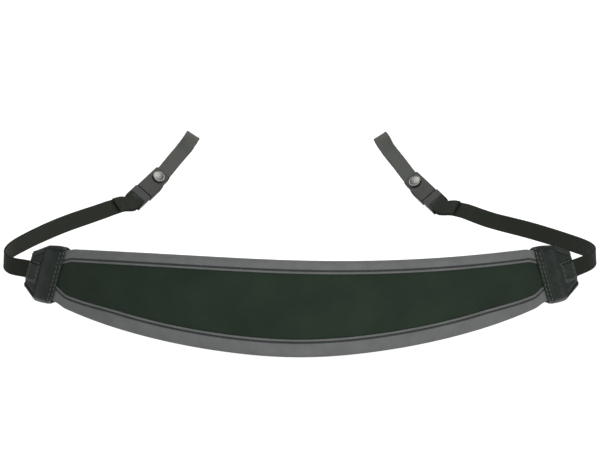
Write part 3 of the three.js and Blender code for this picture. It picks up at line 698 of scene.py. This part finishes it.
def webbing_line(side):
    start, ahead, width, face = buckle_frame(side)
    in_tab = [WEB_IN_TAB, (WEB_IN_TAB + TAB_LENGTH) / 2, TAB_LENGTH + 1]
    rows = [pad_point(np.array(PAD_HALF + out), WEB_ACROSS_TAB, 0.0) for out in in_tab]
    rolls = [-math.degrees(LEAN)] * len(rows)
    rows += [np.array(row[:3], float) for row in WEBBING_ROUTE[side]]
    rolls += [row[3] for row in WEBBING_ROUTE[side]]
    bar = start + ahead * BAR_INSET
    pull = ahead * math.cos(TAIL_BEND) - face * math.sin(TAIL_BEND)
    rows += [bar - pull * TAIL_APPROACH, bar]
    rolls += [BUCKLE_ROLL, BUCKLE_ROLL]
    return StrapLine(rows, rolls, width, TAIL_BLEND / 2)


def make_webbing(side, material):
    line = webbing_line(side)
    apart = (WEB_THICKNESS + GAP) / 2
    around_bar = BAR_RADIUS + GAP + WEB_THICKNESS / 2
    tail_start = line.length - TAIL_LENGTH

    def spread(distance, layer):
        opened = smoothstep(distance, line.length - TAIL_BLEND, line.length)
        doubled = 1.0 if layer > 0 else smoothstep(distance, tail_start - TAIL_BLEND, tail_start)
        return apart * doubled + (around_bar - apart * doubled) * opened

    outward = np.linspace(0, line.length, 420)
    homeward = np.linspace(line.length, tail_start, 40)
    points, widths = folded_path(line, outward, homeward, spread, around_bar)
    return ribbon(f"{side}_webbing_strap", points, widths, WEB_WIDTH, WEB_THICKNESS, side, material)


def make_tail_stitches(side, material):
    """Two rows across the folded tail, through both layers."""
    line = webbing_line(side)
    apart = (WEB_THICKNESS + GAP) / 2

    def row(inset, layer):
        point, _, width, face = (v[0] for v in line.frame_at([line.length - (TAIL_LENGTH - inset)]))
        surface = layer * (apart + 0.44 * WEB_THICKNESS)

        def place(across, lift):
            return point + np.multiply.outer(across, width) + face * (surface + layer * lift)

        return stitches_along(place, TAIL_ROW_PITCH, -TAIL_ROW_HALF, TAIL_ROW_HALF)

    rows = [row(inset, layer) for inset in TAIL_ROWS for layer in (1, -1)]
    centres, ahead, normal = (on_side(v, side) for v in joined(rows))
    return stitch_mesh(f"{side}_tail_stitches", centres, ahead, normal, *TAIL_STITCH, material)


def make_loop(side, material):
    start, ahead, _, _ = buckle_frame(side)
    rows = [start + ahead * (BUCKLE_LENGTH - STRAP_POCKET), start + ahead * BUCKLE_LENGTH]
    rows += [np.array(row[:3], float) for row in LOOP_ROUTE[side]]
    rolls = [BUCKLE_ROLL, BUCKLE_ROLL] + [row[3] for row in LOOP_ROUTE[side]]
    line = StrapLine(rows, rolls)
    apart = (LOOP_THICKNESS + GAP) / 2

    def spread(distance, layer):
        opened = smoothstep(distance, line.length - BIGHT_BLEND, line.length)
        return apart + (BIGHT_RADIUS - apart) * opened

    outward = np.linspace(0, line.length, 130)
    points, widths = folded_path(line, outward, outward[::-1], spread, BIGHT_RADIUS)
    piece = ribbon(f"{side}_loop_strap", points, widths, LOOP_WIDTH, LOOP_THICKNESS, side, material)
    combine(piece, lathe("hole", side, STUD_BORE, material), "DIFFERENCE")
    return piece


# Buckles, in their own frame: x along the strap from the bar's end, y across it downwards, z out of its face
def buckle_place(local, side):
    start, ahead, width, face = buckle_frame(side)
    x, y, z = (np.asarray(local, float)[..., k:k + 1] for k in range(3))
    return on_side(start + ahead * x - width * y + face * z, side)


def rounded_outline(corners, radius, steps=6):
    """A closed outline through corners, each rounded by a quadratic curve."""
    corners = np.asarray(corners, float)
    points = []
    for i, corner in enumerate(corners):
        legs = [corners[i - 1] - corner, corners[(i + 1) % len(corners)] - corner]
        start, end = (corner + unit(leg) * min(radius, 0.4 * np.linalg.norm(leg)) for leg in legs)
        for t in np.linspace(0, 1, steps):
            points.append((1 - t) ** 2 * start + 2 * t * (1 - t) * corner + t ** 2 * end)
    return np.array(points)


def inset_outline(outline, inset):
    """The outline moved inwards."""
    before, after = np.roll(outline, 1, axis=0), np.roll(outline, -1, axis=0)
    ahead = unit(after - before)
    normal = np.stack([-ahead[:, 1], ahead[:, 0]], axis=1)
    x, y = outline[:, 0], outline[:, 1]
    area = float(np.sum(x * np.roll(y, -1) - y * np.roll(x, -1)))
    return outline + normal * inset * (1 if area > 0 else -1)


def slab(name, side, outline, thickness, edge, material):
    """A plate with rounded edges."""
    rings = []
    for angle in np.radians(np.linspace(-90, 90, 15)):
        z = math.sin(angle) * edge + math.copysign(thickness / 2 - edge, math.sin(angle))
        flat = inset_outline(outline, edge * (1 - math.cos(angle)))
        rings.append(np.column_stack([flat, np.full(len(flat), z)]))
    return tube(name, buckle_place(np.stack(rings), side), material)


def block(name, side, x, y, z, material):
    outline = np.array([(x[0], y[0]), (x[1], y[0]), (x[1], y[1]), (x[0], y[1])])
    rings = [np.column_stack([outline, np.full(4, level)]) for level in z]
    return tube(name, buckle_place(np.stack(rings), side), material)


def lathe(name, side, profile, material, segments=48):
    """A turned piece about the stud's axis from a profile of radius and height."""
    turn = np.linspace(0, 2 * np.pi, segments, endpoint=False)
    rings = []
    for radius, z in profile:
        x, y = (max(radius, 1e-3) * wave for wave in (np.cos(turn), np.sin(turn)))
        rings.append(np.column_stack([STUD_AT + x, y, np.full(segments, z)]))
    return tube(name, buckle_place(np.stack(rings), side), material)


def bar_rod(name, side, material):
    """The round bar that the webbing folds over."""
    half = WEB_WIDTH / 2 + GAP + 0.5
    turn = np.linspace(0, 2 * np.pi, 32, endpoint=False)
    rings = [
        np.column_stack([BAR_INSET + BAR_RADIUS * np.cos(turn), np.full(32, y), BAR_RADIUS * np.sin(turn)])
        for y in (-half, half)
    ]
    return tube(name, buckle_place(np.stack(rings), side), material)


def even_shading(piece):
    """Keeps cut edges crisp and lets the broad flat faces set the shading beside rounded edges."""
    piece.data.set_sharp_from_angle(angle=math.radians(40))
    add_modifier(piece, "WEIGHTED_NORMAL", keep_sharp=True)
    apply_modifiers(piece)
    return piece


def make_plug(side, material):
    inner = WEB_WIDTH / 2 + GAP
    slot_to = BAR_INSET + BAR_RADIUS + WEB_THICKNESS + 3 * GAP
    corners = [
        (0, -PLUG_HALF), (PLUG_LENGTH, -PLUG_HALF), (PLUG_LENGTH, PLUG_HALF), (0, PLUG_HALF),
        (0, inner), (slot_to, inner), (slot_to, -inner), (0, -inner),
    ]
    outline = rounded_outline(corners, 1.0)
    piece = slab(f"{side}_buckle_plug_body", side, outline, BUCKLE_THICKNESS, 0.4, material)
    combine(piece, bar_rod("bar", side, material), "UNION")
    length, width, thickness = TONGUE
    along, high = (PLUG_LENGTH - 1, PLUG_LENGTH + length), (-thickness / 2, thickness / 2)
    combine(piece, block("tongue", side, along, (-width / 2, width / 2), high, material), "UNION")
    return even_shading(piece)


def make_socket(side, material):
    body_from = PLUG_LENGTH + GAP
    step = body_from + BODY_LENGTH
    corners = [
        (body_from, -BODY_UPPER), (step, -BODY_UPPER), (BUCKLE_LENGTH, -NECK_HALF),
        (BUCKLE_LENGTH, NECK_HALF), (step + CORNER_RADIUS, NECK_HALF),
        (step, BODY_LOWER), (body_from, BODY_LOWER),
    ]
    outline = rounded_outline(corners, CORNER_RADIUS * 0.6)
    piece = slab(f"{side}_buckle_socket_body", side, outline, BUCKLE_THICKNESS, 0.6, material)
    length, width, thickness = TONGUE
    side_room, deep_room = width / 2 + GAP, thickness / 2 + GAP
    pocket = ((body_from - 1, PLUG_LENGTH + length + GAP), (-side_room, side_room), (-deep_room, deep_room))
    combine(piece, block("pocket", side, *pocket, material), "DIFFERENCE")
    strap_side, strap_deep = LOOP_WIDTH / 2 + GAP, LOOP_THICKNESS + 1.5 * GAP
    mouth_from = BUCKLE_LENGTH - STRAP_POCKET - GAP
    mouth = ((mouth_from, BUCKLE_LENGTH + 1), (-strap_side, strap_side), (-strap_deep, strap_deep))
    combine(piece, block("mouth", side, *mouth, material), "DIFFERENCE")
    combine(piece, lathe("bore", side, STUD_BORE, material), "DIFFERENCE")
    return even_shading(piece)


def make_stud(side, material):
    """A domed head with a rolled rim, its shank and its back plate."""
    seat = BUCKLE_THICKNESS / 2 + GAP
    profile = [(0, -seat - STUD_BACK_HEIGHT), (STUD_BACK - 0.2, -seat - STUD_BACK_HEIGHT)]
    profile += [(STUD_BACK, -seat - STUD_BACK_HEIGHT + 0.2), (STUD_BACK, -seat), (STUD_SHANK, -seat)]
    profile += [(STUD_SHANK, seat), (STUD_HEAD - 0.15, seat)]
    for angle in np.radians(np.linspace(-70, 100, 9)):
        rolled = STUD_RIM * math.cos(angle), STUD_RIM * math.sin(angle)
        profile.append((STUD_HEAD - STUD_RIM + rolled[0], seat + STUD_RIM + rolled[1]))
    for share in np.linspace(DOME_SHARE, 0, 12):
        dome = (STUD_HEIGHT - DOME_FROM) * (1 - (share / DOME_SHARE) ** 2)
        profile.append((STUD_HEAD * share, seat + DOME_FROM + dome))
    return lathe(f"{side}_stud_button", side, profile, material, 64)


# Materials
class Shader:
    """A material's node tree, with short calls for the nodes used here."""

    def __init__(self, name, **settings):
        self.material = bpy.data.materials.new(name)
        self.material.use_nodes = True
        self.tree = self.material.node_tree
        self.surface = self.tree.nodes["Principled BSDF"]
        for key, value in settings.items():
            self.surface.inputs[key.replace("_", " ")].default_value = value

    def node(self, kind, inputs=(), **settings):
        made = self.tree.nodes.new(kind)
        for key, value in settings.items():
            setattr(made, key, value)
        for key, value in dict(inputs).items():
            if isinstance(value, bpy.types.NodeSocket):
                self.tree.links.new(value, made.inputs[key])
            else:
                made.inputs[key].default_value = value
        return made

    def math(self, operation, a, b=0.0, c=0.0):
        return self.node("ShaderNodeMath", {0: a, 1: b, 2: c}, operation=operation).outputs[0]

    def ripple(self, value):
        """Rounded ridges, one for each whole step of the value."""
        return self.math("ABSOLUTE", self.math("SINE", self.math("MULTIPLY", value, math.pi)))

    def lay(self):
        """The three parts of the cloth's own coordinates, in mm."""
        place = self.node("ShaderNodeAttribute", attribute_name="lay").outputs["Vector"]
        parts = self.node("ShaderNodeSeparateXYZ", {0: place}).outputs
        return place, parts[0], parts[1], parts[2]

    def object_mm(self):
        place = self.node("ShaderNodeTexCoord").outputs["Object"]
        return self.node("ShaderNodeVectorMath", {0: place, 3: 1 / MM}, operation="SCALE").outputs[0]

    def noise(self, place, size, detail=2.0):
        inputs = {"Vector": place, "Scale": 1 / size, "Detail": detail}
        return self.node("ShaderNodeTexNoise", inputs).outputs[0]

    def ramp(self, value, stops):
        made = self.node("ShaderNodeValToRGB", {0: value})
        elements = made.color_ramp.elements
        while len(elements) < len(stops):
            elements.new(0.5)
        for element, (at, colour) in zip(elements, stops):
            element.position = at
            element.color = (*colour, 1.0)
        return made.outputs[0]

    def mix(self, share, a, b):
        made = self.node("ShaderNodeMix", {"Factor": share}, data_type="RGBA")
        for socket, value in ((made.inputs[6], a), (made.inputs[7], b)):
            if isinstance(value, bpy.types.NodeSocket):
                self.tree.links.new(value, socket)
            else:
                socket.default_value = (*value, 1.0)
        return made.outputs[2]

    def between(self, value, low, high):
        return self.node("ShaderNodeMapRange", {0: value, 3: low, 4: high}).outputs[0]

    def bump(self, height, strength, depth):
        inputs = {"Strength": strength, "Distance": depth * MM, "Height": height}
        return self.node("ShaderNodeBump", inputs).outputs[0]

    def finish(self, colour=None, roughness=None, normal=None):
        for key, value in (("Base Color", colour), ("Roughness", roughness), ("Normal", normal)):
            if value is not None:
                self.tree.links.new(value, self.surface.inputs[key])
        return self.material


def shade(colour, factor):
    return tuple(c * factor for c in colour)


PANEL_COLOUR = (0.0168, 0.0272, 0.0184)
BINDING_COLOUR = (0.107, 0.110, 0.110)
LEATHER_COLOUR = (0.0045, 0.0085, 0.006)
WEBBING_COLOUR = (0.0135, 0.0175, 0.0110)
# Painted light: the loops are the same black webbing as the strap, coloured several times lighter to stand in
# for the light they catch.
LOOP_LIT_COLOUR = (0.096, 0.100, 0.091)
PLASTIC_COLOUR = (0.0075, 0.0090, 0.0070)
METAL_COLOUR = (0.13, 0.13, 0.123)
THREAD_COLOUR = (0.024, 0.029, 0.025)
# Painted highlight: the tabs' thread is coloured lighter than the hem thread to stand in for the light its
# stitches catch.
TAB_THREAD_HIGHLIGHT_COLOUR = (0.060, 0.072, 0.062)


KNIT_PITCH, JERSEY_PITCH, WEFT_PITCH, WARP_PITCH = 0.75, 0.55, 1.1, 0.7
GRAIN_SIZE = 0.8  # of the leather


def knit_height(shader, along, across, pitch):
    """Rows of small V-shaped knit stitches."""
    lean = shader.math("PINGPONG", shader.math("DIVIDE", along, pitch), 0.5)
    column = shader.math("ADD", shader.math("DIVIDE", across, pitch), shader.math("MULTIPLY", lean, 0.8))
    return shader.ripple(column)


def weave_height(shader, along, across, along_pitch, across_pitch):
    """Plain weave: yarns along and across the cloth pass over each other in turn."""
    u = shader.math("DIVIDE", along, along_pitch)
    v = shader.math("DIVIDE", across, across_pitch)
    weft, warp = (shader.ripple(x) for x in (u, v))
    cell = shader.math("ADD", shader.math("FLOOR", u), shader.math("FLOOR", v))
    over = shader.math("MODULO", shader.math("ABSOLUTE", cell), 2.0)
    warp_over = shader.math("MULTIPLY", warp, over)
    weft_over = shader.math("MULTIPLY", weft, shader.math("SUBTRACT", 1.0, over))
    return shader.math("ADD", warp_over, weft_over)


def panel_material():
    shader = Shader("panel_fabric_knit", Sheen_Weight=0.02, Sheen_Roughness=0.5, Specular_IOR_Level=0.08)
    place, along, across, _ = shader.lay()
    knit = knit_height(shader, along, across, KNIT_PITCH)
    blotch = shader.noise(place, 22.0, 3.0)
    fibre = shader.noise(place, 0.5, 4.0)
    colour = shader.ramp(blotch, [(0.3, shade(PANEL_COLOUR, 0.86)), (0.7, shade(PANEL_COLOUR, 1.12))])
    colour = shader.mix(shader.math("MULTIPLY", knit, 0.35), shader.mix(0.25, colour, (0, 0, 0)), colour)
    height = shader.math("ADD", knit, shader.math("MULTIPLY", fibre, 0.6))
    return shader.finish(colour, shader.between(fibre, 0.78, 0.95), shader.bump(height, 0.35, 0.12))


def binding_material():
    shader = Shader("binding_fabric_jersey", Sheen_Weight=0.03, Sheen_Roughness=0.5, Specular_IOR_Level=0.12)
    place, along, from_hem, _ = shader.lay()
    weave = weave_height(shader, along, from_hem, JERSEY_PITCH, JERSEY_PITCH)
    blotch = shader.noise(place, 9.0, 4.0)
    fibre = shader.noise(place, 0.45, 4.0)
    colour = shader.ramp(blotch, [(0.3, shade(BINDING_COLOUR, 0.88)), (0.7, shade(BINDING_COLOUR, 1.1))])
    # Painted shade: the binding's colour is darkened strongly along the sewn groove, where shade falls in the
    # hollow.
    in_groove = shader.math("ABSOLUTE", shader.math("SUBTRACT", from_hem, GROOVE_AT))
    painted_groove_shade = shader.node("ShaderNodeMapRange", {0: in_groove, 1: 0.35, 2: 0.75, 3: 0.75, 4: 0.0}).outputs[0]
    colour = shader.mix(painted_groove_shade, colour, shade(BINDING_COLOUR, 0.16))
    colour = shader.mix(shader.math("MULTIPLY", fibre, 0.25), colour, shade(BINDING_COLOUR, 0.7))
    height = shader.math("ADD", weave, shader.math("MULTIPLY", fibre, 0.7))
    return shader.finish(colour, shader.between(fibre, 0.78, 0.95), shader.bump(height, 0.4, 0.1))


def leather_material():
    shader = Shader("tab_leather_grain", Specular_IOR_Level=0.3)
    place, _, _, _ = shader.lay()
    scaled = {"Vector": place, "Scale": 1 / GRAIN_SIZE}
    cells = shader.node("ShaderNodeTexVoronoi", scaled, feature="F1").outputs[0]
    fine = shader.noise(place, 0.35, 3.0)
    worn = shader.noise(place, 5.0, 4.0)
    colour = shader.ramp(worn, [(0.35, shade(LEATHER_COLOUR, 0.8)), (0.75, shade(LEATHER_COLOUR, 1.35))])
    height = shader.math("SUBTRACT", shader.math("MULTIPLY", fine, 0.4), cells)
    roughness = shader.between(worn, 0.36, 0.5)
    return shader.finish(colour, roughness, shader.bump(height, 0.5, 0.14))


def webbing_material(name, base):
    shader = Shader(name, Sheen_Weight=0.02, Sheen_Roughness=0.45, Specular_IOR_Level=0.12)
    place, along, across, _ = shader.lay()
    weave = weave_height(shader, along, across, WEFT_PITCH, WARP_PITCH)
    blotch = shader.noise(place, 6.0, 3.0)
    fibre = shader.noise(place, 0.4, 3.0)
    colour = shader.ramp(blotch, [(0.3, shade(base, 0.88)), (0.7, shade(base, 1.15))])
    colour = shader.mix(shader.math("MULTIPLY", weave, 0.5), shade(base, 0.55), colour)
    height = shader.math("ADD", weave, shader.math("MULTIPLY", fibre, 0.4))
    return shader.finish(colour, shader.between(fibre, 0.65, 0.85), shader.bump(height, 0.5, 0.15))


def plastic_material():
    shader = Shader("buckle_plastic_satin", Specular_IOR_Level=0.25)
    place = shader.object_mm()
    grain = shader.noise(place, 0.25, 2.0)
    rubbed = shader.noise(place, 4.0, 4.0)
    colour = shader.ramp(rubbed, [(0.35, shade(PLASTIC_COLOUR, 0.85)), (0.8, shade(PLASTIC_COLOUR, 1.4))])
    return shader.finish(colour, shader.between(rubbed, 0.38, 0.55), shader.bump(grain, 0.25, 0.05))


def metal_material():
    shader = Shader("stud_metal_nickel", Metallic=1.0)
    place = shader.object_mm()
    scratch = shader.noise(place, 0.3, 5.0)
    dull = shader.noise(place, 1.6, 3.0)
    colour = shader.ramp(dull, [(0.3, shade(METAL_COLOUR, 0.85)), (0.7, METAL_COLOUR)])
    return shader.finish(colour, shader.between(dull, 0.3, 0.5), shader.bump(scratch, 0.12, 0.03))


def thread_material(name, base):
    shader = Shader(name, Sheen_Weight=0.05, Specular_IOR_Level=0.2)
    place, along, around, _ = shader.lay()
    ply = shader.math("ADD", shader.math("MULTIPLY", along, 2.2), shader.math("MULTIPLY", around, 3.0))
    twist = shader.ripple(ply)
    own = shader.noise(place, 3.0, 1.0)
    colour = shader.ramp(own, [(0.3, shade(base, 0.8)), (0.7, shade(base, 1.3))])
    return shader.finish(colour, shader.between(twist, 0.6, 0.8), shader.bump(twist, 0.5, 0.1))


# Stage
FLOOR_HALF = 6.0  # metres, like the lights below
FLOOR_GREY, FLOOR_GLOW = 0.3, 0.85  # a glowing floor, so that it is white and almost without shadows
WORLD_LIGHT = 0.25
LIGHTS = [  # name, place, target, size and power
    ("top", (0.0, 0.1, 1.5), (0, 0.1, 0), 1.5, 6),
    ("front", (0.25, -1.05, 0.55), (0, -0.26, -0.02), 0.5, 10),
    ("rear", (-0.008, 0.0, 0.2), (-0.008, 0.0, 0.0), 0.2, 0.6),
]


def stage_material():
    shader = Shader("stage_pale", Roughness=0.9, Specular_IOR_Level=0.1)
    shader.surface.inputs["Base Color"].default_value = (FLOOR_GREY, FLOOR_GREY, FLOOR_GREY, 1.0)
    shader.surface.inputs["Emission Color"].default_value = (1.0, 1.0, 1.0, 1.0)
    shader.surface.inputs["Emission Strength"].default_value = FLOOR_GLOW
    return shader.material


def make_stage(low):
    corners = [(x * FLOOR_HALF, y * FLOOR_HALF) for x, y in ((-1, -1), (1, -1), (1, 1), (-1, 1))]
    mesh = bpy.data.meshes.new("floor")
    mesh.from_pydata([(x, y, low) for x, y in corners], [], [(0, 1, 2, 3)])
    mesh.materials.append(stage_material())
    floor = bpy.data.objects.new("floor", mesh)
    bpy.context.scene.collection.objects.link(floor)


def add_light(name, place, target, size, power):
    light = bpy.data.lights.new(name, "AREA")
    light.size = size
    light.energy = power
    lamp = bpy.data.objects.new(name, light)
    lamp.location = place
    way = np.array(target, float) - np.array(place, float)
    turn = math.atan2(way[1], way[0]) - math.pi / 2
    tilt = math.atan2(math.hypot(way[0], way[1]), -way[2])
    lamp.rotation_euler = (tilt, 0, turn)
    bpy.context.scene.collection.objects.link(lamp)


def make_lights():
    for settings in LIGHTS:
        add_light(*settings)
    world = bpy.data.worlds.new("studio")
    world.use_nodes = True
    background = world.node_tree.nodes["Background"]
    background.inputs[0].default_value = (1, 1, 1, 1)
    background.inputs[1].default_value = WORLD_LIGHT
    bpy.context.scene.world = world
    bpy.context.scene.view_settings.view_transform = "Standard"


def make_camera():
    data = bpy.data.cameras.new("photo_view")
    data.sensor_fit = "HORIZONTAL"
    data.sensor_width = SENSOR
    data.lens = FOCAL_PIXELS * SENSOR / IMAGE_WIDTH
    data.clip_end = 50.0
    camera = bpy.data.objects.new("photo_view", data)
    camera.location = (VIEW_FROM - LUGS) * MM
    camera.rotation_euler = (math.pi / 2 - VIEW_DOWN, 0, 0)
    bpy.context.scene.collection.objects.link(camera)
    bpy.context.scene.camera = camera


def dress(piece, slot, *nodes):
    """The piece rides with the strap and stands for its solids."""
    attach(piece, "root")
    if nodes:
        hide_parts(*nodes)
    return piece


def make_strap():
    panel, binding, leather = panel_material(), binding_material(), leather_material()
    webbing = webbing_material("strap_webbing_weave", WEBBING_COLOUR)
    # The loops' webbing is a lit copy of the strap's webbing, with painted light in its lighter colour.
    lit_loop_webbing = webbing_material("loop_strap_painted_light", LOOP_LIT_COLOUR)
    plastic, metal = plastic_material(), metal_material()
    thread = thread_material("thread_dark", THREAD_COLOUR)
    # The tabs' thread is a lighter copy of the dark thread, with a painted highlight in its colour.
    highlit_tab_thread = thread_material("thread_tab_painted_highlight", TAB_THREAD_HIGHLIGHT_COLOUR)
    cushion = dress(make_pad(panel), "panel_fabric", "neck_pad")
    for edge in ("upper", "lower"):
        dress(make_binding(edge, binding), "binding_fabric", f"{edge}_binding")
        dress(make_hem_stitches(edge, thread), "binding_fabric")
    for side in ("left", "right"):
        dress(make_tab(side, leather), "tab_leather", f"{side}_end_tab")
        dress(make_tab_stitches(side, highlit_tab_thread), "tab_leather")
        dress(make_webbing(side, webbing), "strap_webbing", f"{side}_webbing")
        dress(make_tail_stitches(side, thread), "strap_webbing")
        dress(make_loop(side, lit_loop_webbing), "strap_webbing", f"{side}_camera_loop")
        dress(make_plug(side, plastic), "buckle_plastic", f"{side}_buckle_plug")
        dress(make_socket(side, plastic), "buckle_plastic", f"{side}_buckle_socket")
        dress(make_stud(side, metal), "stud_metal", f"{side}_stud")


make_camera()
make_strap()
make_stage(CAD_BOX[0][2])
make_lights()
